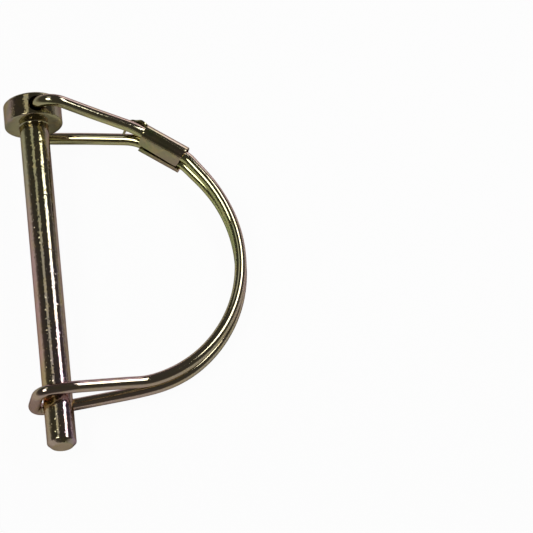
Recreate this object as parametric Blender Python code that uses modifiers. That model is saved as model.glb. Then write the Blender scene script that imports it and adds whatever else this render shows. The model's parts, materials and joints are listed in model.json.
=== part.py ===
"""A wire lock pin at rest on a table: a round pin with a cross-drilled head, and a hinged wire bail.

The pieces are modelled in the pin's own frame, in metres: the origin lies where the axes of the pin
and of its cross hole meet, x points towards the bail's D, y towards the head, and z along the cross hole.
At the end the pieces are turned and set down as they come to rest, with +Z up.
"""

import math

import bmesh
import bpy
from mathutils import Matrix, Vector

# Pin
SHANK_RADIUS = 0.003175
SHANK_LENGTH = 0.0760
ROOT_FILLET = 0.0003
TIP_CHAMFER = 0.00088
HEAD_RADIUS = 0.00635
HEAD_THICKNESS = 0.00584
CROWN_WIDTH = 0.00195
CROWN_DROP = 0.00090
UNDER_RIM_WIDTH = 0.00155
UNDER_RIM_RISE = 0.00048
HOLE_ABOVE_UNDERSIDE = 0.00257

# Wire bail, seen along z: a straight leg, the grip in the ferrule, the D and a loop round the shank
WIRE_RADIUS = 0.0013
LEG_ANGLE = math.radians(11.7)
LEG_RUN = 0.0205
KNEE_RADIUS = 0.0140
GRIP_ANGLE = math.radians(33.5)
GRIP_RUN = 0.0090
SHOULDER_RADIUS = 0.0045
SHOULDER_TURN = math.radians(18.5)
SHOULDER_RUN = 0.0041
BOW_TURN = math.radians(84.4)
TAIL_RADIUS = 0.0277
TAIL_TURN = math.radians(36.6)
LOOP_FROM_TIP = 0.0113

# Wire bail, across that view: how far the two strands stand apart
HOOK_STANDOFF = 0.00455
HOOK_RADIUS = 0.00395
HOOK_END_GAP = 0.0030
GRIP_GAP = 0.0012
BOW_GAP = 0.00012
GRIP_TILT = math.radians(7)
TILT_START_RUN = 0.0120
SPREAD_RUN = 0.0193
PARALLEL_RUN = 0.0025
LOOP_BEND_RADIUS = 0.00277
EASE_RUN = 0.0015

# How far one strand lies outside the other along the D
SHOULDER_STAGGER = 0.00028
BOW_STAGGER = 0.00097
TAIL_STAGGER = 0.00080
STAGGER_START_RUN = 0.012
STAGGER_BOW_RUN = 0.030
STAGGER_TAIL_RUN = 0.015

# Clearances between the wire and what it meets
HOLE_CLEARANCE = 0.00052
LOOP_SIDE_CLEARANCE = 0.0005
LOOP_END_CLEARANCE = 0.0003
FERRULE_CLEARANCE = 0.00012

# Ferrule. Its tab lies round the legs, draws in and turns down between them
SHEET = 0.00045
FERRULE_LENGTH = 0.0104
FERRULE_HALF_WALL = 0.00200
SEAM_WIDTH = 0.00070
SEAM_OFFSET = -0.00108
SEAM_SLANT = 0.0005
STRIP_CUT_BACK = 0.0008
FLAP_CUT_BACK = 0.0006
CORNER_RADIUS = 0.0005
TAB_RUN = 0.0034
TAB_LIFT = 0.00030
TAB_FLARE = 0.18
TAB_BEND_RADIUS = 0.0006
TAB_TIP_RUN = 0.0024
TAB_HALF_WIDTH = 0.0034
TAB_TIP_HALF_WIDTH = 0.0009
TAB_FULL_RUN = 0.0004
TAB_DRAWN_IN_RUN = 0.0040
SHEET_EDGE = 0.00006

# How finely the shapes are divided
PIN_SIDES = 72
ARC_STEPS = 8
WIRE_STEP = 0.00105
WIRE_BEVEL_RESOLUTION = 4
FERRULE_ROWS = 9
TAB_RUN_ROWS = 6
TAB_BEND_ROWS = 3
TAB_TIP_ROWS = 2
TAB_SIDE_STEPS = 3
FOLD_STEPS = 8
STRIP_STEPS = 5
WALL_STEPS = 4
MERGE_DISTANCE = 0.000001
SMOOTH_ANGLE = math.radians(30)

HOLE_RADIUS = WIRE_RADIUS + HOLE_CLEARANCE
UNDERSIDE_Y = -HOLE_ABOVE_UNDERSIDE
TIP_Y = UNDERSIDE_Y - SHANK_LENGTH
LOOP_Y = TIP_Y + LOOP_FROM_TIP
LOOP_REACH = SHANK_RADIUS + WIRE_RADIUS + LOOP_END_CLEARANCE
HOOK_HALF = HEAD_RADIUS + HOOK_STANDOFF
GRIP_HALF = WIRE_RADIUS + GRIP_GAP / 2
BOW_HALF = WIRE_RADIUS + BOW_GAP / 2
LOOP_HALF = SHANK_RADIUS + WIRE_RADIUS + LOOP_SIDE_CLEARANCE
FOLD_RADIUS = WIRE_RADIUS + FERRULE_CLEARANCE + SHEET / 2


def clear_scene():
    for thing in list(bpy.data.objects):
        bpy.data.objects.remove(thing, do_unlink=True)


def new_collection(name):
    collection = bpy.data.collections.new(name)
    bpy.context.scene.collection.children.link(collection)
    return collection


def new_material(name, colour, roughness):
    material = bpy.data.materials.new(name)
    material.use_nodes = True
    shader = material.node_tree.nodes["Principled BSDF"]
    shader.inputs["Base Color"].default_value = (*colour, 1.0)
    shader.inputs["Metallic"].default_value = 1.0
    shader.inputs["Roughness"].default_value = roughness
    return material


def new_object(name, data, collection):
    thing = bpy.data.objects.new(name, data)
    collection.objects.link(thing)
    return thing


def quarter_ellipse(centre, radial, axial, start):
    """Points of a quarter turn, clockwise in the profile, from the angle start, in degrees."""
    points = []
    for step in range(ARC_STEPS + 1):
        angle = math.radians(start - 90 * step / ARC_STEPS)
        points.append((centre[0] + radial * math.cos(angle), centre[1] + axial * math.sin(angle)))
    return points


def pin_profile():
    """The pin's outline as (radius, height) pairs, from the top of the head down to the tip."""
    face = UNDERSIDE_Y + HEAD_THICKNESS
    crown = (HEAD_RADIUS - CROWN_WIDTH, face - CROWN_DROP)
    under_rim = (HEAD_RADIUS - UNDER_RIM_WIDTH, UNDERSIDE_Y + UNDER_RIM_RISE)
    profile = [(0, face)]
    profile += quarter_ellipse(crown, CROWN_WIDTH, CROWN_DROP, 90)
    profile += quarter_ellipse(under_rim, UNDER_RIM_WIDTH, UNDER_RIM_RISE, 0)
    fillet = (SHANK_RADIUS + ROOT_FILLET, UNDERSIDE_Y - ROOT_FILLET)
    profile += reversed(quarter_ellipse(fillet, ROOT_FILLET, ROOT_FILLET, 180))
    profile.append((SHANK_RADIUS, TIP_Y + TIP_CHAMFER))
    profile.append((SHANK_RADIUS - TIP_CHAMFER, TIP_Y))
    profile.append((0, TIP_Y))
    return profile


def build_pin(collection, cutters):
    """Turned about its own z axis, which then becomes y of the pin's frame."""
    profile = pin_profile()
    mesh = bpy.data.meshes.new("pin")
    edges = [(i, i + 1) for i in range(len(profile) - 1)]
    mesh.from_pydata([(radius, 0, height) for radius, height in profile], edges, [])
    pin = new_object("pin", mesh, collection)
    pin.rotation_euler.x = -math.pi / 2

    screw = pin.modifiers.new("turned", "SCREW")
    screw.axis = "Z"
    screw.steps = PIN_SIDES
    screw.render_steps = PIN_SIDES
    screw.use_merge_vertices = True
    screw.merge_threshold = MERGE_DISTANCE
    screw.use_smooth_shade = True

    bpy.ops.mesh.primitive_cylinder_add(vertices=40, radius=HOLE_RADIUS, depth=4 * HEAD_RADIUS)
    drill = bpy.context.object
    drill.name = "cross_hole_cutter"
    drill.hide_render = True
    drill.display_type = "WIRE"
    for owner in list(drill.users_collection):
        owner.objects.unlink(drill)
    cutters.objects.link(drill)

    cut = pin.modifiers.new("cross hole", "BOOLEAN")
    cut.operation = "DIFFERENCE"
    cut.solver = "EXACT"
    cut.object = drill
    return pin, drill


def bail_runs(bow_radius):
    """The bail's middle line as (length, curvature) runs; a positive curvature turns clockwise."""
    return (
        (LEG_RUN, 0),
        (KNEE_RADIUS * (GRIP_ANGLE - LEG_ANGLE), 1 / KNEE_RADIUS),
        (GRIP_RUN, 0),
        (SHOULDER_RADIUS * SHOULDER_TURN, 1 / SHOULDER_RADIUS),
        (SHOULDER_RUN, 0),
        (bow_radius * BOW_TURN, 1 / bow_radius),
        (TAIL_RADIUS * TAIL_TURN, 1 / TAIL_RADIUS),
    )


def place_on_bail(runs, distance):
    """The point and heading at a distance along the middle line, which ends in a straight run."""
    x = 0
    y = 0
    heading = -LEG_ANGLE
    for length, curvature in (*runs, (math.inf, 0)):
        part = min(length, distance)
        turn = part * curvature
        chord = part if curvature == 0 else 2 * math.sin(turn / 2) / curvature
        x += chord * math.cos(heading - turn / 2)
        y += chord * math.sin(heading - turn / 2)
        heading -= turn
        distance -= part
        if distance <= 0:
            break
    return x, y, heading


def run_to(runs, x_target):
    """How long the middle line is where its last, straight run comes to x_target, and y there."""
    length = sum(run for run, _ in runs)
    x, y, heading = place_on_bail(runs, length)
    straight = (x_target - x) / math.cos(heading)
    return length + straight, y + straight * math.sin(heading)


def fitted_bow_radius():
    """The loop's height changes in proportion to the bow's radius, so two trials give the right one."""
    low = run_to(bail_runs(SHANK_LENGTH / 4), 0)[1]
    high = run_to(bail_runs(SHANK_LENGTH / 2), 0)[1]
    return SHANK_LENGTH / 4 * (1 + (LOOP_Y - low) / (high - low))


def between(knots, distance):
    """Reads a list of (distance, value) knots, straight between them."""
    if distance <= knots[0][0]:
        return knots[0][1]
    for (start, first), (end, last) in zip(knots, knots[1:]):
        if distance <= end:
            return first + (last - first) * (distance - start) / (end - start)
    return knots[-1][1]


def eased(knots, distance):
    """The same with its corners rounded, as the mean over a short stretch."""
    reach = [EASE_RUN * step / 4 for step in range(-4, 5)]
    return sum(between(knots, distance + offset) for offset in reach) / len(reach)


def rounded_corner(corner, before, after, radius):
    """Points of an arc that leads from the direction before into the direction after."""
    turn = before.angle(after)
    trim = radius * math.tan(turn / 2)
    start = corner - before * trim
    inward = (after - before * before.dot(after)).normalized()
    points = []
    for step in range(ARC_STEPS + 1):
        angle = turn * step / ARC_STEPS
        points.append(start + before * radius * math.sin(angle) + inward * radius * (1 - math.cos(angle)))
    return points, trim


def bail_strand(side):
    """One strand, from its end in the cross hole to the middle of the loop; side is 1 above, -1 below."""
    runs = bail_runs(fitted_bow_radius())
    grip_start = runs[0][0] + runs[1][0]
    grip_end = grip_start + GRIP_RUN
    mouth = grip_end - FERRULE_LENGTH
    legs_meet = mouth - EASE_RUN / 2
    at_shank = run_to(runs, 0)[0]
    at_loop, loop_y = run_to(runs, -LOOP_REACH)
    spread = (
        (-EASE_RUN, HOOK_HALF + EASE_RUN * (HOOK_HALF - GRIP_HALF) / legs_meet),
        (legs_meet, GRIP_HALF),
        (grip_end, BOW_HALF),
        (at_shank - SPREAD_RUN, BOW_HALF),
        (at_shank - PARALLEL_RUN, LOOP_HALF),
    )
    stagger = (
        (mouth - TILT_START_RUN, 0),
        (mouth, -2 * GRIP_HALF * math.tan(GRIP_TILT)),
        (grip_end, -2 * BOW_HALF * math.tan(GRIP_TILT)),
        (grip_end + STAGGER_START_RUN, SHOULDER_STAGGER),
        (at_shank - STAGGER_BOW_RUN, BOW_STAGGER),
        (at_shank - STAGGER_TAIL_RUN, TAIL_STAGGER),
        (at_shank, 0),
    )

    def place(distance):
        x, y, heading = place_on_bail(runs, distance)
        inward = side * eased(stagger, distance) / 2
        x += inward * math.sin(heading)
        y -= inward * math.cos(heading)
        return Vector((x, y, side * eased(spread, distance)))

    along_hole = Vector((0, 0, side))
    hook_corner = Vector((0, 0, side * HOOK_HALF))
    leg_step = place(LEG_RUN / 2) - hook_corner
    leg = leg_step.normalized()
    points = [Vector((0, 0, side * HOOK_END_GAP / 2))]
    hook, trim = rounded_corner(hook_corner, along_hole, leg, HOOK_RADIUS)
    points += hook

    start = trim * (LEG_RUN / 2) / leg_step.length
    end = at_loop - LOOP_BEND_RADIUS
    steps = round((end - start) / WIRE_STEP)
    points += [place(start + (end - start) * step / steps) for step in range(1, steps)]

    heading = place_on_bail(runs, at_loop)[2]
    tail = Vector((math.cos(heading), math.sin(heading), 0))
    loop_corner = Vector((-LOOP_REACH, loop_y, side * LOOP_HALF))
    points += rounded_corner(loop_corner, tail, -along_hole, LOOP_BEND_RADIUS)[0]
    return points


def build_bail(collection):
    """One wire: down one strand, round the shank and back up the other."""
    route = bail_strand(1) + bail_strand(-1)[::-1]
    curve = bpy.data.curves.new("wire_bail", "CURVE")
    curve.dimensions = "3D"
    curve.bevel_depth = WIRE_RADIUS
    curve.bevel_resolution = WIRE_BEVEL_RESOLUTION
    curve.use_fill_caps = True
    spline = curve.splines.new("POLY")
    spline.points.add(len(route) - 1)
    for point, place in zip(spline.points, route):
        point.co = (*place, 1)
    spline.use_smooth = True
    return new_object("wire_bail", curve, collection)


def sheet_section(along):
    """Follows the ferrule's sheet from the middle of its outer wall; gives the place outwards and z."""
    side = math.copysign(1, along)
    past_wall = abs(along) - FERRULE_HALF_WALL
    if past_wall <= 0:
        return FOLD_RADIUS, along
    turn = past_wall / FOLD_RADIUS
    if turn <= math.pi:
        return FOLD_RADIUS * math.cos(turn), side * (FERRULE_HALF_WALL + FOLD_RADIUS * math.sin(turn))
    return -FOLD_RADIUS, side * (FERRULE_HALF_WALL - past_wall + math.pi * FOLD_RADIUS)


def corner_cut(distance, radius):
    """How far a rounded corner draws an edge back, this far from the corner's side."""
    if distance >= radius:
        return 0
    return radius - math.sqrt(radius**2 - (radius - distance) ** 2)


def spaced(start, end, steps):
    return [start + (end - start) * step / steps for step in range(1, steps + 1)]


def tab_place(run):
    """How far a point of the tab lies before the ferrule's mouth, and how far outwards of its wall."""
    if run <= TAB_RUN:
        return run, TAB_LIFT * math.sin(math.pi / 2 * run / TAB_RUN)
    turn = min((run - TAB_RUN) / TAB_BEND_RADIUS, math.pi / 2)
    past_bend = run - TAB_RUN - TAB_BEND_RADIUS * turn
    rise = TAB_LIFT + TAB_BEND_RADIUS * (math.cos(turn) - 1) - past_bend
    return TAB_RUN + TAB_BEND_RADIUS * math.sin(turn), rise


def tab_width(run):
    """The tab's width as a share of its width at the mouth: full, then drawn in to the tip."""
    drawn_in = min(max((run - TAB_FULL_RUN) / (TAB_DRAWN_IN_RUN - TAB_FULL_RUN), 0), 1)
    return 1 - (1 - TAB_TIP_HALF_WIDTH / TAB_HALF_WIDTH) * (1 - math.cos(math.pi * drawn_in)) / 2


def sheet_columns():
    """Places along the ferrule's section, from the lower flap's edge round to the upper strip's edge."""
    fold = FERRULE_HALF_WALL + math.pi * FOLD_RADIUS
    flap_edge = fold + FERRULE_HALF_WALL + SEAM_OFFSET - SEAM_WIDTH / 2
    strip_edge = fold + FERRULE_HALF_WALL - SEAM_OFFSET - SEAM_WIDTH / 2
    lower = [-flap_edge, -flap_edge + CORNER_RADIUS / 4, -flap_edge + CORNER_RADIUS]
    upper = [strip_edge - CORNER_RADIUS, strip_edge - CORNER_RADIUS / 4, strip_edge]
    columns = lower
    columns += spaced(lower[-1], -TAB_HALF_WIDTH, FOLD_STEPS)
    columns += spaced(-TAB_HALF_WIDTH, -FERRULE_HALF_WALL, TAB_SIDE_STEPS)
    columns += spaced(-FERRULE_HALF_WALL, FERRULE_HALF_WALL, WALL_STEPS)
    columns += spaced(FERRULE_HALF_WALL, TAB_HALF_WIDTH, TAB_SIDE_STEPS)
    columns += spaced(TAB_HALF_WIDTH, fold, FOLD_STEPS)
    columns += spaced(fold, upper[0], STRIP_STEPS)
    columns += upper[1:]
    return columns, flap_edge, strip_edge


def build_ferrule(collection):
    """A sheet folded round both strands of the grip, with a seam on the D's side and a tab at one end."""
    columns, flap_edge, strip_edge = sheet_columns()
    runs = bail_runs(fitted_bow_radius())
    x, y, heading = place_on_bail(runs, runs[0][0] + runs[1][0] + GRIP_RUN - FERRULE_LENGTH / 2)
    along = Vector((math.cos(heading), math.sin(heading), 0))
    outwards = Vector((-math.sin(heading), math.cos(heading), 0))
    middle = Vector((x, y, 0)) - along * FERRULE_LENGTH / 2
    upwards = Vector((0, 0, math.cos(GRIP_TILT))) + outwards * math.sin(GRIP_TILT)
    outwards = outwards * math.cos(GRIP_TILT) - Vector((0, 0, math.sin(GRIP_TILT)))
    fold = FERRULE_HALF_WALL + math.pi * FOLD_RADIUS

    def place(column, distance, rise=0):
        out, up = sheet_section(column)
        past_fold = max(0, abs(column) - fold) / (strip_edge - fold)
        up -= SEAM_SLANT * past_fold * (distance / FERRULE_LENGTH - 0.5)
        flare = TAB_FLARE * max(0, -distance) * min(max(column / FERRULE_HALF_WALL, -1), 1)
        centre = middle + along * distance + Vector((0, 0, flare))
        return centre + outwards * (out + rise) + upwards * up

    mesh = bmesh.new()
    grid = []
    for column in columns:
        edge = min(column + flap_edge, strip_edge - column)
        corner = corner_cut(edge, CORNER_RADIUS)
        start = corner + FLAP_CUT_BACK * max(0, -column - FERRULE_HALF_WALL) / (flap_edge - FERRULE_HALF_WALL)
        past_wall = max(0, column - FERRULE_HALF_WALL) / (strip_edge - FERRULE_HALF_WALL)
        end = FERRULE_LENGTH - corner - STRIP_CUT_BACK * past_wall
        rows = [start + (end - start) * row / FERRULE_ROWS for row in range(FERRULE_ROWS + 1)]
        grid.append([mesh.verts.new(place(column, row)) for row in rows])
    tab_columns = [i for i, column in enumerate(columns) if abs(column) <= TAB_HALF_WIDTH * 1.0001]
    tab = [[grid[i][0]] for i in tab_columns]
    bend = TAB_BEND_RADIUS * math.pi / 2
    tab_rows = spaced(0, TAB_RUN, TAB_RUN_ROWS)
    tab_rows += spaced(TAB_RUN, TAB_RUN + bend, TAB_BEND_ROWS)
    tab_rows += spaced(TAB_RUN + bend, TAB_RUN + bend + TAB_TIP_RUN, TAB_TIP_ROWS)
    for run in tab_rows:
        distance, rise = tab_place(run)
        for strip, i in zip(tab, tab_columns):
            strip.insert(0, mesh.verts.new(place(columns[i] * tab_width(run), -distance, rise)))
    for part in (grid, tab):
        for left, right in zip(part, part[1:]):
            for row in range(len(left) - 1):
                mesh.faces.new((left[row], right[row], right[row + 1], left[row + 1]))
    bmesh.ops.recalc_face_normals(mesh, faces=mesh.faces)
    for face in mesh.faces:
        face.smooth = True
    data = bpy.data.meshes.new("ferrule")
    mesh.to_mesh(data)
    mesh.free()

    ferrule = new_object("ferrule", data, collection)
    solidify = ferrule.modifiers.new("sheet", "SOLIDIFY")
    solidify.thickness = SHEET
    solidify.offset = 0
    solidify.use_even_offset = True
    bevel = ferrule.modifiers.new("sheet edges", "BEVEL")
    bevel.width = SHEET_EDGE
    bevel.segments = 1
    bevel.limit_method = "ANGLE"
    bevel.angle_limit = math.radians(50)
    return ferrule


def evaluated_triangles(thing):
    """The finished triangles of a piece, in the frame of the whole."""
    graph = bpy.context.evaluated_depsgraph_get()
    finished = thing.evaluated_get(graph)
    mesh = finished.to_mesh()
    mesh.calc_loop_triangles()
    corners = [thing.matrix_world @ vertex.co for vertex in mesh.vertices]
    triangles = [[corners[i] for i in triangle.vertices] for triangle in mesh.loop_triangles]
    finished.to_mesh_clear()
    return triangles


def centre_of_mass(triangles):
    """All pieces are steel, so the centre of their volume is the centre of mass."""
    volume = 0
    moment = Vector((0, 0, 0))
    for a, b, c in triangles:
        share = a.dot(b.cross(c))
        volume += share
        moment += share * (a + b + c) / 4
    return moment / volume


def table_normal(triangles):
    """The direction up from the table, when the piece lies on its lower side."""
    centre = centre_of_mass(triangles)
    hull = bmesh.new()
    for triangle in triangles:
        for corner in triangle:
            hull.verts.new(corner)
    bmesh.ops.remove_doubles(hull, verts=hull.verts, dist=MERGE_DISTANCE)
    bmesh.ops.convex_hull(hull, input=hull.verts, use_existing_faces=False)
    middle = sum((vertex.co for vertex in hull.verts), Vector()) / len(hull.verts)
    down = Vector((0, 0, -1))
    for face in hull.faces:
        a, b, c = (vertex.co for vertex in face.verts[:3])
        normal = (b - a).cross(c - a).normalized()
        if normal.dot(a - middle) < 0:
            a, b = b, a
            normal = -normal
        inside = all(
            (end - start).cross(centre - start).dot(normal) >= 0 for start, end in ((a, b), (b, c), (c, a))
        )
        if inside and normal.dot(down) > 0.7:
            down = normal.copy()
            break
    hull.free()
    return -down


def rest_matrix(triangles):
    """Turns the table's normal up and the head towards +Y, and sets the piece down on z = 0."""
    up = table_normal(triangles)
    right = Vector((0, 1, 0)).cross(up).normalized()
    turn = Matrix((right, up.cross(right), up))
    corners = [turn @ corner for triangle in triangles for corner in triangle]
    low = Vector([min(corner[i] for corner in corners) for i in range(3)])
    high = Vector([max(corner[i] for corner in corners) for i in range(3)])
    move = Vector((-(low.x + high.x) / 2, -(low.y + high.y) / 2, -low.z))
    return Matrix.Translation(move) @ turn.to_4x4()


def main():
    clear_scene()
    collection = new_collection("locking_pin")
    cutters = new_collection("cutters")

    pin, drill = build_pin(collection, cutters)
    bail = build_bail(collection)
    ferrule = build_ferrule(collection)
    pin.data.materials.append(new_material("zinc_pin", (0.60, 0.53, 0.38), 0.28))
    bail.data.materials.append(new_material("zinc_wire", (0.55, 0.50, 0.34), 0.22))
    ferrule.data.materials.append(new_material("zinc_ferrule", (0.55, 0.48, 0.36), 0.30))

    rest = new_object("rest", None, collection)
    swing = new_object("bail_axis", None, collection)
    swing.parent = rest
    pin.parent = rest
    drill.parent = rest
    bail.parent = swing
    ferrule.parent = swing

    bpy.context.view_layer.update()
    triangles = []
    for thing in (pin, bail, ferrule):
        triangles += evaluated_triangles(thing)
    rest.matrix_world = rest_matrix(triangles)
    bpy.context.view_layer.update()


main()
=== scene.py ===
"""Dresses the wire lock pin: fine meshes, yellow zinc plating, a white floor, soft lamps and the camera."""

import json
import math

import bmesh
import bpy
from mathutils import Matrix, Vector


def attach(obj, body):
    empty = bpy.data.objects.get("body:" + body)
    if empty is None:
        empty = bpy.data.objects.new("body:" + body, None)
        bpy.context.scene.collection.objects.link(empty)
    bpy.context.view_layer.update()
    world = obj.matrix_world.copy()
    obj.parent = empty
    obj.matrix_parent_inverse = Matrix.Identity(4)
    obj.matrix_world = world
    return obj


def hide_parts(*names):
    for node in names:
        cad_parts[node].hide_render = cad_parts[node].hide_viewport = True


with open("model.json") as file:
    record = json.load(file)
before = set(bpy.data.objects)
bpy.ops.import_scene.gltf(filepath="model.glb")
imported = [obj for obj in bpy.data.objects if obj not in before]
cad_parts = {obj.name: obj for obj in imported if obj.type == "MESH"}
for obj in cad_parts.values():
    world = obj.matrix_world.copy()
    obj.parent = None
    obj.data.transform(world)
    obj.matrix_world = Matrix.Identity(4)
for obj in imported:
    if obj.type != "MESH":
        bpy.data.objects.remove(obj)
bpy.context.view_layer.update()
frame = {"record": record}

# Sizes of the pin, in metres, as on the solids
SHANK_RADIUS = 0.003175
SHANK_LENGTH = 0.0760
ROOT_FILLET = 0.0003
TIP_CHAMFER = 0.00088
HEAD_RADIUS = 0.00635
HEAD_THICKNESS = 0.00584
CROWN_WIDTH = 0.00195
CROWN_DROP = 0.00090
UNDER_RIM_WIDTH = 0.00155
UNDER_RIM_RISE = 0.00048
HOLE_ABOVE_UNDERSIDE = 0.00257

# Gaps round the wire, each measured from its surface
HOLE_CLEARANCE = 0.00052
LOOP_SIDE_CLEARANCE = 0.0005
LOOP_END_CLEARANCE = 0.0003
FERRULE_CLEARANCE = 0.00012
GRIP_GAP = 0.0012
BOW_GAP = 0.00012
HOOK_STANDOFF = 0.00455
HOOK_END_GAP = 0.0030

# The bail's middle line, seen across the D
WIRE_RADIUS = 0.0013
LEG_ANGLE = math.radians(11.7)
LEG_RUN = 0.0205
KNEE_RADIUS = 0.0140
GRIP_ANGLE = math.radians(33.5)
GRIP_RUN = 0.0090
SHOULDER_RADIUS = 0.0045
SHOULDER_TURN = math.radians(18.5)
SHOULDER_RUN = 0.0041
BOW_TURN = math.radians(84.4)
TAIL_RADIUS = 0.0277
TAIL_TURN = math.radians(36.6)
LOOP_FROM_TIP = 0.0113

# The two strands: their bends, and where they spread and close up
GRIP_TILT = math.radians(7)
TILT_START_RUN = 0.0120
HOOK_RADIUS = 0.00395
SPREAD_RUN = 0.0193
PARALLEL_RUN = 0.0025
LOOP_BEND_RADIUS = 0.00277
EASE_RUN = 0.0015

# How far one strand lies inside the other, and where
SHOULDER_STAGGER = 0.00028
BOW_STAGGER = 0.00097
TAIL_STAGGER = 0.00080
STAGGER_START_RUN = 0.012
STAGGER_BOW_RUN = 0.030
STAGGER_TAIL_RUN = 0.015

# Ferrule
SHEET = 0.00045
FERRULE_LENGTH = 0.0104
FERRULE_HALF_WALL = 0.00200
SEAM_WIDTH = 0.00070
SEAM_OFFSET = -0.00108
SEAM_SLANT = 0.0005
STRIP_CUT_BACK = 0.0008
FLAP_CUT_BACK = 0.0006
CORNER_RADIUS = 0.0005
TAB_RUN = 0.0034
TAB_LIFT = 0.00030
TAB_FLARE = 0.18
TAB_BEND_RADIUS = 0.0006
TAB_TIP_RUN = 0.0024
TAB_HALF_WIDTH = 0.0034
TAB_TIP_HALF_WIDTH = 0.0009
TAB_FULL_RUN = 0.0004
TAB_DRAWN_IN_RUN = 0.0040

# Rounding of the edges. The chamfer's two edges go by points outwards and up, in shares of the softness
EDGE_SOFTNESS = 0.00018
CHAMFER_TOP = ((0, 2), (0, 1), (-0.2, 0.1), (-0.7, -0.6))
CHAMFER_FOOT = ((0.6, 0.7), (-0.1, 0.2), (-1, 0), (-2, 0))
HOLE_RIM = 0.00016
SHEET_RIM = 0.00009
ROUNDED_ANGLE = math.radians(50)
PIN_SHARP_ANGLE = math.radians(32)
SHARP_ANGLE = math.radians(40)

# Fineness of the meshes
PIN_SIDES = 160
DRILL_SIDES = 96
RIM_STEPS = 14
FILLET_STEPS = 6
EDGE_STEPS = 3
WIRE_SIDES = 32
WIRE_STEP = 0.0005
WIRE_END_STEPS = 6
WIRE_BEND_STEPS = 16
EASE_STEPS = 4
CORNER_SHARES = (0.04, 0.15, 0.35, 0.65, 1)
WALL_STEPS = 12
FOLD_STEPS = 14
STRIP_STEPS = 8
FERRULE_ROWS = 28
TAB_RUN_ROWS = 14
TAB_BEND_ROWS = 8
TAB_TIP_ROWS = 5
JUST_OVER = 1.0001

# Camera
CAMERA_TARGET = Vector((0.02919, 0.00031, 0.0033))
CAMERA_DISTANCE = 1.0
CAMERA_AZIMUTH = math.radians(-100.55)
CAMERA_ELEVATION = math.radians(61.18)
CAMERA_ROLL = math.radians(5.27)
CAMERA_LENS = 310.9
CAMERA_NEAR = 0.01

HOLE_RADIUS = WIRE_RADIUS + HOLE_CLEARANCE
UNDERSIDE_Y = -HOLE_ABOVE_UNDERSIDE
TIP_Y = UNDERSIDE_Y - SHANK_LENGTH
LOOP_REACH = SHANK_RADIUS + WIRE_RADIUS + LOOP_END_CLEARANCE
FOLD_RADIUS = WIRE_RADIUS + FERRULE_CLEARANCE + SHEET / 2

# Half the distance between the two strands' middles
HOOK_HALF = HEAD_RADIUS + HOOK_STANDOFF
GRIP_HALF = WIRE_RADIUS + GRIP_GAP / 2
BOW_HALF = WIRE_RADIUS + BOW_GAP / 2
LOOP_HALF = SHANK_RADIUS + WIRE_RADIUS + LOOP_SIDE_CLEARANCE


def pin_frame():
    """The pin's own frame: its origin in the cross hole, y out of the head, z along the hole."""
    record = frame["record"]
    joint = record["behaviour"]["joints"][0]
    mounts = {mount["name"]: mount for mount in record["mounts"]}
    z_axis = -Vector(joint["axis"]).normalized()
    y_axis = Vector(mounts["head_face"]["axis"]).normalized()
    x_axis = y_axis.cross(z_axis).normalized()
    turn = Matrix((x_axis, z_axis.cross(x_axis), z_axis)).transposed()
    return Matrix.Translation(Vector(joint["pos_m"])) @ turn.to_4x4()


PIN_FRAME = pin_frame()


def new_piece(name, mesh, body, node):
    bmesh.ops.recalc_face_normals(mesh, faces=mesh.faces)
    data = bpy.data.meshes.new(name)
    mesh.to_mesh(data)
    mesh.free()
    data.shade_smooth()
    data.transform(PIN_FRAME)
    piece = bpy.data.objects.new(name, data)
    bpy.context.scene.collection.objects.link(piece)
    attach(piece, body)
    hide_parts(node)
    return piece


def round_edges(piece, width):
    bevel = piece.modifiers.new("rounded edges", "BEVEL")
    bevel.limit_method = "ANGLE"
    bevel.angle_limit = ROUNDED_ANGLE
    bevel.width = width
    bevel.segments = EDGE_STEPS


def apply_modifiers(piece):
    graph = bpy.context.evaluated_depsgraph_get()
    finished = bpy.data.meshes.new_from_object(piece.evaluated_get(graph), depsgraph=graph)
    piece.modifiers.clear()
    old = piece.data
    piece.data = finished
    bpy.data.meshes.remove(old)


# The pin


def quarter_ellipse(centre, radial, axial, start, steps=RIM_STEPS):
    points = []
    for step in range(steps + 1):
        angle = math.radians(start - 90 * step / steps)
        points.append((centre[0] + radial * math.cos(angle), centre[1] + axial * math.sin(angle)))
    return points


def pin_profile():
    face = UNDERSIDE_Y + HEAD_THICKNESS
    soft = EDGE_SOFTNESS
    profile = [(0, face), (HEAD_RADIUS - CROWN_WIDTH - soft, face)]
    crown = (HEAD_RADIUS - CROWN_WIDTH, face - CROWN_DROP)
    profile += quarter_ellipse(crown, CROWN_WIDTH, CROWN_DROP, 90)
    under_rim = (HEAD_RADIUS - UNDER_RIM_WIDTH, UNDERSIDE_Y + UNDER_RIM_RISE)
    profile += quarter_ellipse(under_rim, UNDER_RIM_WIDTH, UNDER_RIM_RISE, 0)
    profile.append((under_rim[0] - soft, UNDERSIDE_Y))
    fillet = (SHANK_RADIUS + ROOT_FILLET, UNDERSIDE_Y - ROOT_FILLET)
    profile.append((fillet[0] + soft, UNDERSIDE_Y))
    profile += reversed(quarter_ellipse(fillet, ROOT_FILLET, ROOT_FILLET, 180, FILLET_STEPS))
    profile.append((SHANK_RADIUS, fillet[1] - soft))
    for out, up in CHAMFER_TOP:
        profile.append((SHANK_RADIUS + soft * out, TIP_Y + TIP_CHAMFER + soft * up))
    for out, up in CHAMFER_FOOT:
        profile.append((SHANK_RADIUS - TIP_CHAMFER + soft * out, TIP_Y + soft * up))
    profile.append((0, TIP_Y))
    return profile


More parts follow.
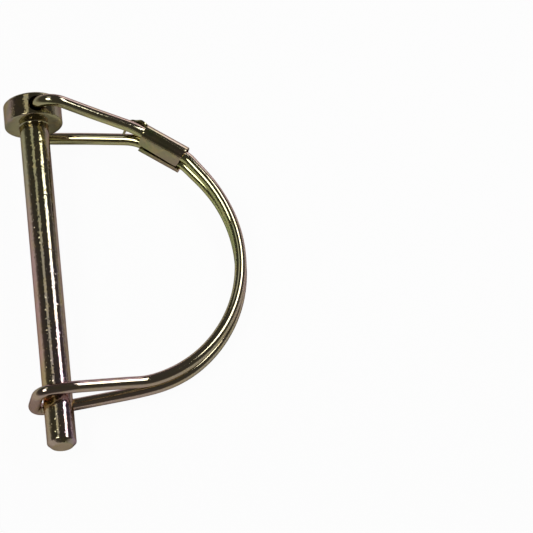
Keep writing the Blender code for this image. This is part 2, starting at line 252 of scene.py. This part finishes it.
def build_pin():
    profile = pin_profile()
    mesh = bmesh.new()
    rings = []
    for radius, height in profile:
        if radius == 0:
            rings.append([mesh.verts.new((0, height, 0))])
            continue
        ring = []
        for side in range(PIN_SIDES):
            angle = 2 * math.pi * side / PIN_SIDES
            ring.append(mesh.verts.new((radius * math.cos(angle), height, radius * math.sin(angle))))
        rings.append(ring)
    for upper, lower in zip(rings, rings[1:]):
        for side in range(PIN_SIDES):
            after = (side + 1) % PIN_SIDES
            if len(upper) == 1:
                mesh.faces.new((upper[0], lower[after], lower[side]))
            elif len(lower) == 1:
                mesh.faces.new((upper[side], upper[after], lower[0]))
            else:
                mesh.faces.new((upper[side], upper[after], lower[after], lower[side]))
    piece = new_piece("pin_body", mesh, "pin", "pin")

    bpy.ops.mesh.primitive_cylinder_add(vertices=DRILL_SIDES, radius=HOLE_RADIUS, depth=4 * HEAD_RADIUS)
    drill = bpy.context.object
    drill.matrix_world = PIN_FRAME
    cut = piece.modifiers.new("cross hole", "BOOLEAN")
    cut.operation = "DIFFERENCE"
    cut.solver = "EXACT"
    cut.object = drill
    apply_modifiers(piece)
    bpy.data.objects.remove(drill, do_unlink=True)
    round_edges(piece, HOLE_RIM)
    apply_modifiers(piece)
    piece.data.set_sharp_from_angle(angle=PIN_SHARP_ANGLE)
    return piece


# The wire


def bail_runs(bow_radius):
    return (
        (LEG_RUN, 0),
        (KNEE_RADIUS * (GRIP_ANGLE - LEG_ANGLE), 1 / KNEE_RADIUS),
        (GRIP_RUN, 0),
        (SHOULDER_RADIUS * SHOULDER_TURN, 1 / SHOULDER_RADIUS),
        (SHOULDER_RUN, 0),
        (bow_radius * BOW_TURN, 1 / bow_radius),
        (TAIL_RADIUS * TAIL_TURN, 1 / TAIL_RADIUS),
    )


def place_on_bail(runs, distance):
    """The point and heading at a distance along the middle line."""
    x = 0
    y = 0
    heading = -LEG_ANGLE
    for length, curvature in (*runs, (math.inf, 0)):
        part = min(length, distance)
        turn = part * curvature
        chord = part if curvature == 0 else 2 * math.sin(turn / 2) / curvature
        x += chord * math.cos(heading - turn / 2)
        y += chord * math.sin(heading - turn / 2)
        heading -= turn
        distance -= part
        if distance <= 0:
            break
    return x, y, heading


def run_to(runs, x_target):
    length = sum(run for run, _ in runs)
    x, y, heading = place_on_bail(runs, length)
    straight = (x_target - x) / math.cos(heading)
    return length + straight, y + straight * math.sin(heading)


def fitted_runs():
    """The loop's height changes in proportion to the bow's radius, so two trials give the right one."""
    low = run_to(bail_runs(SHANK_LENGTH / 4), 0)[1]
    high = run_to(bail_runs(SHANK_LENGTH / 2), 0)[1]
    loop_y = TIP_Y + LOOP_FROM_TIP
    return bail_runs(SHANK_LENGTH / 4 * (1 + (loop_y - low) / (high - low)))


RUNS = fitted_runs()


def between(knots, distance):
    if distance <= knots[0][0]:
        return knots[0][1]
    for (start, first), (end, last) in zip(knots, knots[1:]):
        if distance <= end:
            return first + (last - first) * (distance - start) / (end - start)
    return knots[-1][1]


def eased(knots, distance):
    reach = [EASE_RUN * step / EASE_STEPS for step in range(-EASE_STEPS, EASE_STEPS + 1)]
    return sum(between(knots, distance + offset) for offset in reach) / len(reach)


def rounded_corner(corner, before, after, radius):
    turn = before.angle(after)
    trim = radius * math.tan(turn / 2)
    start = corner - before * trim
    inward = (after - before * before.dot(after)).normalized()
    points = []
    for step in range(WIRE_BEND_STEPS + 1):
        angle = turn * step / WIRE_BEND_STEPS
        points.append(start + before * radius * math.sin(angle) + inward * radius * (1 - math.cos(angle)))
    return points, trim


def bail_strand(side):
    """One strand, from its end in the cross hole to the middle of the loop; side is 1 above, -1 below."""
    grip_start = RUNS[0][0] + RUNS[1][0]
    grip_end = grip_start + GRIP_RUN
    mouth = grip_end - FERRULE_LENGTH
    legs_meet = mouth - EASE_RUN / 2
    at_shank = run_to(RUNS, 0)[0]
    at_loop, loop_y = run_to(RUNS, -LOOP_REACH)
    spread = (
        (-EASE_RUN, HOOK_HALF + EASE_RUN * (HOOK_HALF - GRIP_HALF) / legs_meet),
        (legs_meet, GRIP_HALF),
        (grip_end, BOW_HALF),
        (at_shank - SPREAD_RUN, BOW_HALF),
        (at_shank - PARALLEL_RUN, LOOP_HALF),
    )
    stagger = (
        (mouth - TILT_START_RUN, 0),
        (mouth, -2 * GRIP_HALF * math.tan(GRIP_TILT)),
        (grip_end, -2 * BOW_HALF * math.tan(GRIP_TILT)),
        (grip_end + STAGGER_START_RUN, SHOULDER_STAGGER),
        (at_shank - STAGGER_BOW_RUN, BOW_STAGGER),
        (at_shank - STAGGER_TAIL_RUN, TAIL_STAGGER),
        (at_shank, 0),
    )

    def place(distance):
        x, y, heading = place_on_bail(RUNS, distance)
        inward = side * eased(stagger, distance) / 2
        x += inward * math.sin(heading)
        y -= inward * math.cos(heading)
        return Vector((x, y, side * eased(spread, distance)))

    along_hole = Vector((0, 0, side))
    hook_corner = Vector((0, 0, side * HOOK_HALF))
    leg_step = place(LEG_RUN / 2) - hook_corner
    hook, trim = rounded_corner(hook_corner, along_hole, leg_step.normalized(), HOOK_RADIUS)
    start = trim * (LEG_RUN / 2) / leg_step.length
    end = at_loop - LOOP_BEND_RADIUS
    steps = round((end - start) / WIRE_STEP)
    tip = Vector((0, 0, side * HOOK_END_GAP / 2))
    points = [tip + (hook[0] - tip) * step / WIRE_END_STEPS for step in range(WIRE_END_STEPS)]
    points += hook
    points += [place(start + (end - start) * step / steps) for step in range(1, steps)]
    heading = place_on_bail(RUNS, at_loop)[2]
    tail = Vector((math.cos(heading), math.sin(heading), 0))
    loop_corner = Vector((-LOOP_REACH, loop_y, side * LOOP_HALF))
    points += rounded_corner(loop_corner, tail, -along_hole, LOOP_BEND_RADIUS)[0]
    return points


def build_wire():
    """A round tube along the whole route, its cross sections carried along without twist."""
    route = bail_strand(1) + bail_strand(-1)[::-1]
    tangents = []
    for i, point in enumerate(route):
        before = route[max(0, i - 1)]
        after = route[min(len(route) - 1, i + 1)]
        tangents.append((after - before).normalized())
    across = Vector((1, 0, 0))
    mesh = bmesh.new()
    rings = []
    for i, point in enumerate(route):
        across = (across - tangents[i] * across.dot(tangents[i])).normalized()
        other = tangents[i].cross(across)
        ring = []
        for side in range(WIRE_SIDES):
            angle = 2 * math.pi * side / WIRE_SIDES
            offset = across * math.cos(angle) + other * math.sin(angle)
            ring.append(mesh.verts.new(point + offset * WIRE_RADIUS))
        rings.append(ring)
    for first, second in zip(rings, rings[1:]):
        for side in range(WIRE_SIDES):
            after = (side + 1) % WIRE_SIDES
            mesh.faces.new((first[side], first[after], second[after], second[side]))
    mesh.faces.new(rings[0][::-1])
    mesh.faces.new(rings[-1])
    piece = new_piece("bail_wire", mesh, "bail", "wire_bail")
    piece.data.set_sharp_from_angle(angle=SHARP_ANGLE)
    return piece


# The ferrule


def sheet_section(along):
    """Follows the sheet's middle from the outer wall's centre line; gives the place outwards and z."""
    side = math.copysign(1, along)
    past_wall = abs(along) - FERRULE_HALF_WALL
    if past_wall <= 0:
        return FOLD_RADIUS, along
    turn = past_wall / FOLD_RADIUS
    if turn <= math.pi:
        return FOLD_RADIUS * math.cos(turn), side * (FERRULE_HALF_WALL + FOLD_RADIUS * math.sin(turn))
    return -FOLD_RADIUS, side * (FERRULE_HALF_WALL - past_wall + math.pi * FOLD_RADIUS)


def corner_cut(distance, radius):
    if distance >= radius:
        return 0
    return radius - math.sqrt(radius**2 - (radius - distance) ** 2)


def spaced(start, end, steps):
    return [start + (end - start) * step / steps for step in range(1, steps + 1)]


def tab_place(run):
    """How far a point of the tab lies before the ferrule's mouth, and how far outwards of its wall."""
    if run <= TAB_RUN:
        return run, TAB_LIFT * math.sin(math.pi / 2 * run / TAB_RUN)
    turn = min((run - TAB_RUN) / TAB_BEND_RADIUS, math.pi / 2)
    past_bend = run - TAB_RUN - TAB_BEND_RADIUS * turn
    rise = TAB_LIFT + TAB_BEND_RADIUS * (math.cos(turn) - 1) - past_bend
    return TAB_RUN + TAB_BEND_RADIUS * math.sin(turn), rise


def tab_width(run):
    """The tab's width as a share of its width at the mouth: full, then drawn in to the tip."""
    drawn_in = min(max((run - TAB_FULL_RUN) / (TAB_DRAWN_IN_RUN - TAB_FULL_RUN), 0), 1)
    return 1 - (1 - TAB_TIP_HALF_WIDTH / TAB_HALF_WIDTH) * (1 - math.cos(math.pi * drawn_in)) / 2


def build_ferrule():
    fold = FERRULE_HALF_WALL + math.pi * FOLD_RADIUS
    flap_edge = fold + FERRULE_HALF_WALL + SEAM_OFFSET - SEAM_WIDTH / 2
    strip_edge = fold + FERRULE_HALF_WALL - SEAM_OFFSET - SEAM_WIDTH / 2
    near_edge = [CORNER_RADIUS * share for share in CORNER_SHARES]
    columns = [-flap_edge] + [-flap_edge + step for step in near_edge]
    columns += spaced(columns[-1], -TAB_HALF_WIDTH, FOLD_STEPS)
    columns += spaced(-TAB_HALF_WIDTH, -FERRULE_HALF_WALL, FOLD_STEPS)
    columns += spaced(-FERRULE_HALF_WALL, FERRULE_HALF_WALL, WALL_STEPS)
    columns += spaced(FERRULE_HALF_WALL, TAB_HALF_WIDTH, FOLD_STEPS)
    columns += spaced(TAB_HALF_WIDTH, fold, FOLD_STEPS)
    columns += spaced(fold, strip_edge - CORNER_RADIUS, STRIP_STEPS)
    columns += [strip_edge - step for step in near_edge[-2::-1]] + [strip_edge]

    x, y, heading = place_on_bail(RUNS, RUNS[0][0] + RUNS[1][0] + GRIP_RUN - FERRULE_LENGTH / 2)
    along = Vector((math.cos(heading), math.sin(heading), 0))
    outwards = Vector((-math.sin(heading), math.cos(heading), 0))
    middle = Vector((x, y, 0)) - along * FERRULE_LENGTH / 2
    upwards = Vector((0, 0, math.cos(GRIP_TILT))) + outwards * math.sin(GRIP_TILT)
    outwards = outwards * math.cos(GRIP_TILT) - Vector((0, 0, math.sin(GRIP_TILT)))

    def place(column, distance, rise=0):
        out, up = sheet_section(column)
        past_fold = max(0, abs(column) - fold) / (strip_edge - fold)
        up -= SEAM_SLANT * past_fold * (distance / FERRULE_LENGTH - 0.5)
        flare = TAB_FLARE * max(0, -distance) * min(max(column / FERRULE_HALF_WALL, -1), 1)
        centre = middle + along * distance + Vector((0, 0, flare))
        return centre + outwards * (out + rise) + upwards * up

    mesh = bmesh.new()
    grid = []
    for column in columns:
        edge = max(0, min(column + flap_edge, strip_edge - column))
        corner = corner_cut(edge, CORNER_RADIUS)
        flap = max(0, -column - FERRULE_HALF_WALL) / (flap_edge - FERRULE_HALF_WALL)
        strip = max(0, column - FERRULE_HALF_WALL) / (strip_edge - FERRULE_HALF_WALL)
        start = corner + FLAP_CUT_BACK * flap
        end = FERRULE_LENGTH - corner - STRIP_CUT_BACK * strip
        run = [start + (end - start) * row / FERRULE_ROWS for row in range(FERRULE_ROWS + 1)]
        grid.append([mesh.verts.new(place(column, distance)) for distance in run])
    tab_columns = [i for i, column in enumerate(columns) if abs(column) <= TAB_HALF_WIDTH * JUST_OVER]
    tab = [[grid[i][0]] for i in tab_columns]
    bend_end = TAB_RUN + TAB_BEND_RADIUS * math.pi / 2
    tab_rows = spaced(0, TAB_RUN, TAB_RUN_ROWS)
    tab_rows += spaced(TAB_RUN, bend_end, TAB_BEND_ROWS)
    tab_rows += spaced(bend_end, bend_end + TAB_TIP_RUN, TAB_TIP_ROWS)
    for run in tab_rows:
        distance, rise = tab_place(run)
        for column, i in zip(tab, tab_columns):
            column.insert(0, mesh.verts.new(place(columns[i] * tab_width(run), -distance, rise)))
    for part in (grid, tab):
        for left, right in zip(part, part[1:]):
            for row in range(len(left) - 1):
                mesh.faces.new((left[row], right[row], right[row + 1], left[row + 1]))
    piece = new_piece("ferrule_sleeve", mesh, "bail", "ferrule")
    solidify = piece.modifiers.new("sheet", "SOLIDIFY")
    solidify.thickness = SHEET
    solidify.offset = 0
    solidify.use_even_offset = True
    round_edges(piece, SHEET_RIM)
    apply_modifiers(piece)
    piece.data.set_sharp_from_angle(angle=SHARP_ANGLE)
    return piece


# Materials


class Nodes:
    """Short names for the shader nodes used here."""

    def __init__(self, name):
        self.material = bpy.data.materials.new(name)
        self.material.use_nodes = True
        self.tree = self.material.node_tree
        self.shader = self.tree.nodes["Principled BSDF"]

    def add(self, kind, **settings):
        node = self.tree.nodes.new(kind)
        for key, value in settings.items():
            setattr(node, key, value)
        return node

    def link(self, source, target):
        self.tree.links.new(source, target)

    def math(self, operation, first, second=0.0, third=0.0):
        node = self.add("ShaderNodeMath", operation=operation)
        for socket, value in zip(node.inputs, (first, second, third)):
            if isinstance(value, (int, float)):
                socket.default_value = value
            else:
                self.link(value, socket)
        return node.outputs[0]

    def vector(self, operation, first, second=None, scale=None):
        node = self.add("ShaderNodeVectorMath", operation=operation)
        self.link(first, node.inputs[0])
        if isinstance(second, tuple):
            node.inputs[1].default_value = second
        elif second is not None:
            self.link(second, node.inputs[1])
        if scale is not None:
            self.link(scale, node.inputs["Scale"])
        return node.outputs[0]

    def pin_place(self):
        """Coordinates in the pin's own frame."""
        mapping = self.add("ShaderNodeMapping", vector_type="TEXTURE")
        mapping.inputs["Location"].default_value = PIN_FRAME.translation
        mapping.inputs["Rotation"].default_value = PIN_FRAME.to_euler()
        self.link(self.add("ShaderNodeTexCoord").outputs["Object"], mapping.inputs["Vector"])
        return mapping.outputs[0]

    def noise(self, vector, scale, detail, roughness=0.5, distortion=0.0):
        node = self.add("ShaderNodeTexNoise")
        node.inputs["Scale"].default_value = scale
        node.inputs["Detail"].default_value = detail
        node.inputs["Roughness"].default_value = roughness
        node.inputs["Distortion"].default_value = distortion
        self.link(vector, node.inputs["Vector"])
        return node.outputs["Fac"]

    def mix(self, share, first, second):
        node = self.add("ShaderNodeMix", data_type="RGBA", clamp_factor=True)
        self.link(share, node.inputs["Factor"])
        self.link(first, node.inputs["A"])
        self.link(second, node.inputs["B"])
        return node.outputs["Result"]

    def ramp(self, value, stops):
        node = self.add("ShaderNodeValToRGB")
        elements = node.color_ramp.elements
        while len(elements) < len(stops):
            elements.new(0.5)
        for element, (place, colour) in zip(elements, stops):
            element.position = place
            element.color = (*colour, 1)
        self.link(value, node.inputs[0])
        return node.outputs[0]


# The plating's colours, with a painted sheen. Each column faces one way, from left to right, and runs from
# head to tip. The drift from head to tip is the plating's own; where a column facing to the side is lighter,
# that is a painted reflection of the floor along that edge.
# On the pin both outer columns are lighter: painted reflection along the left and right edges.
PIN_FILM_AND_PAINTED_SHEEN = (
    (-0.80, (
        (0.00, (0.50, 0.36, 0.34)),
        (0.05, (0.40, 0.37, 0.24)),
        (0.12, (0.58, 0.56, 0.34)),
        (0.22, (0.62, 0.58, 0.42)),
        (0.36, (0.76, 0.55, 0.50)),
        (0.56, (0.84, 0.53, 0.54)),
        (0.78, (0.88, 0.56, 0.48)),
        (0.90, (0.84, 0.64, 0.30)),
        (0.99, (0.66, 0.52, 0.40)),
    )),
    (-0.35, (
        (0.00, (0.36, 0.32, 0.19)),
        (0.12, (0.42, 0.40, 0.20)),
        (0.56, (0.42, 0.37, 0.25)),
        (0.78, (0.44, 0.38, 0.28)),
        (0.98, (0.44, 0.40, 0.22)),
    )),
    (0.40, (
        (0.00, (0.44, 0.40, 0.26)),
        (0.16, (0.44, 0.42, 0.26)),
        (0.32, (0.44, 0.41, 0.29)),
        (0.56, (0.48, 0.40, 0.38)),
        (0.78, (0.52, 0.37, 0.48)),
        (0.98, (0.52, 0.35, 0.50)),
    )),
    (0.62, (
        (0.00, (0.36, 0.29, 0.24)),
        (0.30, (0.34, 0.29, 0.24)),
        (0.56, (0.40, 0.32, 0.28)),
        (0.98, (0.40, 0.30, 0.26)),
    )),
    (0.85, (
        (0.00, (0.54, 0.40, 0.38)),
        (0.16, (0.62, 0.44, 0.40)),
        (0.32, (0.72, 0.58, 0.50)),
        (0.56, (0.86, 0.62, 0.54)),
        (0.78, (0.88, 0.70, 0.40)),
        (0.98, (0.46, 0.35, 0.24)),
    )),
)
# On the wire the column at 0.85 is light pink: painted reflection along the edge facing that way.
WIRE_FILM_AND_PAINTED_SHEEN = (
    (-0.75, (
        (0.00, (0.54, 0.50, 0.28)),
        (0.16, (0.56, 0.56, 0.25)),
        (0.45, (0.47, 0.56, 0.23)),
        (0.75, (0.60, 0.49, 0.35)),
        (0.98, (0.64, 0.46, 0.40)),
    )),
    (0.00, (
        (0.00, (0.50, 0.46, 0.32)),
        (0.45, (0.50, 0.48, 0.30)),
        (0.98, (0.52, 0.46, 0.32)),
    )),
    (0.50, (
        (0.00, (0.68, 0.49, 0.44)),
        (0.45, (0.66, 0.49, 0.44)),
        (0.98, (0.72, 0.47, 0.52)),
    )),
    (0.85, (
        (0.00, (0.84, 0.54, 0.56)),
        (0.45, (0.82, 0.55, 0.58)),
        (0.98, (0.86, 0.53, 0.68)),
    )),
)
# On the ferrule the column at 0.60 is light pink: painted reflection along the edge facing that way.
FERRULE_FILM_AND_PAINTED_SHEEN = (
    (-0.60, (
        (0.08, (0.34, 0.36, 0.17)),
        (0.28, (0.46, 0.30, 0.27)),
    )),
    (0.00, (
        (0.08, (0.32, 0.40, 0.15)),
        (0.28, (0.52, 0.31, 0.33)),
    )),
    (0.60, (
        (0.08, (0.72, 0.55, 0.48)),
        (0.28, (0.74, 0.54, 0.52)),
    )),
)


# The patches shift the film's place along the pin, its facing and its roughness by up to these
FILM_START = 0.03
ALONG_DRIFT = 0.3
SIDE_DRIFT = 0.4
ROUGHNESS_DRIFT = 0.08

# Scattered patches of a plain gold film, finer than the others
GOLD = (0.66, 0.52, 0.22, 1)
GOLD_FINENESS = 3
GOLD_CONTRAST = 3.0
GOLD_MOST = 0.3

# The colour that the plating reflects at its very edges
EDGE_TINT = (0.60, 0.50, 0.45, 1)

# How unevenly the small facets tilt: most of them hardly, a few a lot
TILT_PATCHES = 0.7
FEW_STEEP = 5.0
STEEPEST = 6.0
SHALLOWEST = 0.15


def zinc(name, film_and_painted_sheen, right, patch_scale, facet_scale, facet_tilt, roughness):
    """Yellow zinc plating: its film drifts from yellow-green at the head to mauve near the tip, and some
    sides are lighter by which way they face, a painted sheen.
    """
    nodes = Nodes(name)
    place = nodes.pin_place()
    split = nodes.add("ShaderNodeSeparateXYZ")
    nodes.link(place, split.inputs[0])
    patches = nodes.noise(place, patch_scale, detail=3.0, roughness=0.55, distortion=0.6)
    along = nodes.math("MULTIPLY_ADD", split.outputs[1], -1 / SHANK_LENGTH, FILM_START)
    along = nodes.math("ADD", along, nodes.math("MULTIPLY_ADD", patches, ALONG_DRIFT, -ALONG_DRIFT / 2))
    # Which way the surface faces picks the column, so the sides facing left and right take their lighter
    # colours: a painted sheen.
    facing = nodes.add("ShaderNodeVectorMath", operation="DOT_PRODUCT")
    nodes.link(nodes.add("ShaderNodeTexCoord").outputs["Normal"], facing.inputs[0])
    facing.inputs[1].default_value = right
    drift = nodes.math("MULTIPLY_ADD", patches, SIDE_DRIFT, -SIDE_DRIFT / 2)
    side = nodes.math("ADD", facing.outputs["Value"], drift)
    colour = nodes.ramp(along, film_and_painted_sheen[0][1])
    for (start, _), (end, stops) in zip(film_and_painted_sheen, film_and_painted_sheen[1:]):
        share = nodes.math("MULTIPLY_ADD", side, 1 / (end - start), -start / (end - start))
        colour = nodes.mix(share, colour, nodes.ramp(along, stops))
    gold = nodes.add("ShaderNodeRGB").outputs[0]
    gold.default_value = GOLD
    gold_share = nodes.noise(place, patch_scale * GOLD_FINENESS, detail=2.0, roughness=0.6, distortion=1.0)
    gold_share = nodes.math("MULTIPLY_ADD", gold_share, GOLD_CONTRAST, -GOLD_CONTRAST / 2)
    colour = nodes.mix(nodes.math("MINIMUM", gold_share, GOLD_MOST), colour, gold)
    nodes.link(colour, nodes.shader.inputs["Base Color"])
    nodes.shader.inputs["Specular Tint"].default_value = EDGE_TINT

    facets = nodes.add("ShaderNodeTexVoronoi")
    facets.inputs["Scale"].default_value = facet_scale
    nodes.link(place, facets.inputs["Vector"])
    tilt = nodes.vector("SUBTRACT", facets.outputs["Color"], (0.5, 0.5, 0.5))
    strength = nodes.math("POWER", nodes.noise(place, facet_scale * TILT_PATCHES, detail=0.0), FEW_STEEP)
    strength = nodes.math("MULTIPLY_ADD", strength, facet_tilt * STEEPEST, facet_tilt * SHALLOWEST)
    tilt = nodes.vector("SCALE", tilt, scale=strength)
    normal = nodes.vector("ADD", nodes.add("ShaderNodeNewGeometry").outputs["Normal"], tilt)
    nodes.link(nodes.vector("NORMALIZE", normal), nodes.shader.inputs["Normal"])

    wear = nodes.math("MULTIPLY_ADD", patches, ROUGHNESS_DRIFT, roughness - ROUGHNESS_DRIFT / 2)
    nodes.link(wear, nodes.shader.inputs["Roughness"])
    nodes.shader.inputs["Metallic"].default_value = 1.0
    return nodes.material


# Studio

WHITE = (1, 1, 1, 1)
ROOM_LOW = (0.32, 0.31, 0.30, 1)
ROOM_HIGH = (0.058, 0.054, 0.053, 1)
ROOM_HIGH_FROM = 0.24

# The floor shows the light on it, and so the shadow, through the part that doesn't glow
FLOOR_HALF = 3.0
FLOOR_DROP = 0.00005
FLOOR_COLOUR = (0.9, 0.9, 0.9, 1)
FLOOR_GLOW = 0.96

# Soft lamps: place, size across and along, brightness, and turn in degrees
LAMPS = (
    ("key", (0.127, 0.054, 0.171), 0.058, 0.136, 4.9, 12),
    ("left", (-0.265, -0.045, 0.43), 0.16, 0.26, 6.0, 0),
    ("fill", (-0.27, 0.32, 0.61), 0.20, 0.34, 0.60, 0),
    ("back", (0.64, 0.96, 0.30), 0.46, 0.40, 1.3, 0),
)


def build_world():
    world = bpy.data.worlds.new("studio")
    bpy.context.scene.world = world
    world.use_nodes = True
    tree = world.node_tree
    tree.nodes.clear()
    output = tree.nodes.new("ShaderNodeOutputWorld")
    seen = tree.nodes.new("ShaderNodeBackground")
    seen.inputs["Color"].default_value = WHITE
    room = tree.nodes.new("ShaderNodeBackground")
    coordinate = tree.nodes.new("ShaderNodeTexCoord")
    split = tree.nodes.new("ShaderNodeSeparateXYZ")
    ramp = tree.nodes.new("ShaderNodeValToRGB")
    low, high = ramp.color_ramp.elements
    low.color = ROOM_LOW
    high.color = ROOM_HIGH
    high.position = ROOM_HIGH_FROM
    tree.links.new(coordinate.outputs["Generated"], split.inputs[0])
    tree.links.new(split.outputs["Z"], ramp.inputs[0])
    tree.links.new(ramp.outputs[0], room.inputs["Color"])
    path = tree.nodes.new("ShaderNodeLightPath")
    mix = tree.nodes.new("ShaderNodeMixShader")
    tree.links.new(path.outputs["Is Camera Ray"], mix.inputs[0])
    tree.links.new(room.outputs[0], mix.inputs[1])
    tree.links.new(seen.outputs[0], mix.inputs[2])
    tree.links.new(mix.outputs[0], output.inputs[0])


def build_floor():
    mesh = bpy.data.meshes.new("floor")
    corners = ((-1, -1), (1, -1), (1, 1), (-1, 1))
    mesh.from_pydata([(x * FLOOR_HALF, y * FLOOR_HALF, 0) for x, y in corners], [], [(0, 1, 2, 3)])
    floor = bpy.data.objects.new("floor", mesh)
    floor.location.z = -FLOOR_DROP
    bpy.context.scene.collection.objects.link(floor)
    material = bpy.data.materials.new("white_floor")
    material.use_nodes = True
    tree = material.node_tree
    tree.nodes.clear()
    output = tree.nodes.new("ShaderNodeOutputMaterial")
    diffuse = tree.nodes.new("ShaderNodeBsdfDiffuse")
    diffuse.inputs["Color"].default_value = FLOOR_COLOUR
    glow = tree.nodes.new("ShaderNodeEmission")
    glow.inputs["Color"].default_value = WHITE
    path = tree.nodes.new("ShaderNodeLightPath")
    share = tree.nodes.new("ShaderNodeMath")
    share.operation = "MULTIPLY"
    share.inputs[1].default_value = FLOOR_GLOW
    mix = tree.nodes.new("ShaderNodeMixShader")
    tree.links.new(path.outputs["Is Camera Ray"], share.inputs[0])
    tree.links.new(share.outputs[0], mix.inputs[0])
    tree.links.new(diffuse.outputs[0], mix.inputs[1])
    tree.links.new(glow.outputs[0], mix.inputs[2])
    tree.links.new(mix.outputs[0], output.inputs[0])
    floor.data.materials.append(material)


def softbox(name, place, across, along, radiance, turn):
    """A rectangular lamp that faces the middle of the scene, its longer side along y before its turn."""
    lamp = bpy.data.lights.new(name, "AREA")
    lamp.shape = "RECTANGLE"
    lamp.size = across
    lamp.size_y = along
    lamp.energy = radiance * math.pi * lamp.size * lamp.size_y
    thing = bpy.data.objects.new(name, lamp)
    bpy.context.scene.collection.objects.link(thing)
    thing.visible_camera = False
    away = Vector(place).normalized()
    side = Vector((0, 1, 0)).cross(away).normalized()
    aim = Matrix((side, away.cross(side), away)).transposed() @ Matrix.Rotation(math.radians(turn), 3, "Z")
    thing.matrix_world = Matrix.Translation(place) @ aim.to_4x4()


def build_camera():
    camera = bpy.data.cameras.new("camera")
    camera.lens = CAMERA_LENS
    camera.clip_start = CAMERA_NEAR
    thing = bpy.data.objects.new("camera", camera)
    bpy.context.scene.collection.objects.link(thing)
    back = Vector((
        math.cos(CAMERA_AZIMUTH) * math.cos(CAMERA_ELEVATION),
        math.sin(CAMERA_AZIMUTH) * math.cos(CAMERA_ELEVATION),
        math.sin(CAMERA_ELEVATION),
    ))
    right = Vector((0, 0, 1)).cross(back).normalized()
    up = back.cross(right)
    turn = Matrix((right, up, back)).transposed() @ Matrix.Rotation(CAMERA_ROLL, 3, "Z")
    thing.matrix_world = Matrix.Translation(CAMERA_TARGET + back * CAMERA_DISTANCE) @ turn.to_4x4()
    bpy.context.scene.camera = thing


# Each piece's film with its painted sheen, the way that counts as right, patches and facets per metre,
# facets' tilt and roughness
PLATING = (
    (build_pin, "pin_zinc", PIN_FILM_AND_PAINTED_SHEEN, (0.8, 0.6, 0.0), 110, 3600, 0.20, 0.09),
    (build_wire, "wire_zinc", WIRE_FILM_AND_PAINTED_SHEEN, (0.6, 0.8, 0.0), 160, 2600, 0.03, 0.08),
    (build_ferrule, "ferrule_zinc", FERRULE_FILM_AND_PAINTED_SHEEN, (0.45, 0.9, 0.0), 150, 2600, 0.03, 0.12),
)


def main():
    for build, name, film_and_painted_sheen, right, patch_scale, facet_scale, facet_tilt, roughness in PLATING:
        piece = build()
        piece.data.materials.clear()
        piece.data.materials.append(zinc(name, film_and_painted_sheen, right, patch_scale, facet_scale, facet_tilt, roughness))
    build_world()
    build_floor()
    for lamp in LAMPS:
        softbox(*lamp)
    build_camera()
    bpy.context.scene.view_settings.view_transform = "Standard"


main()
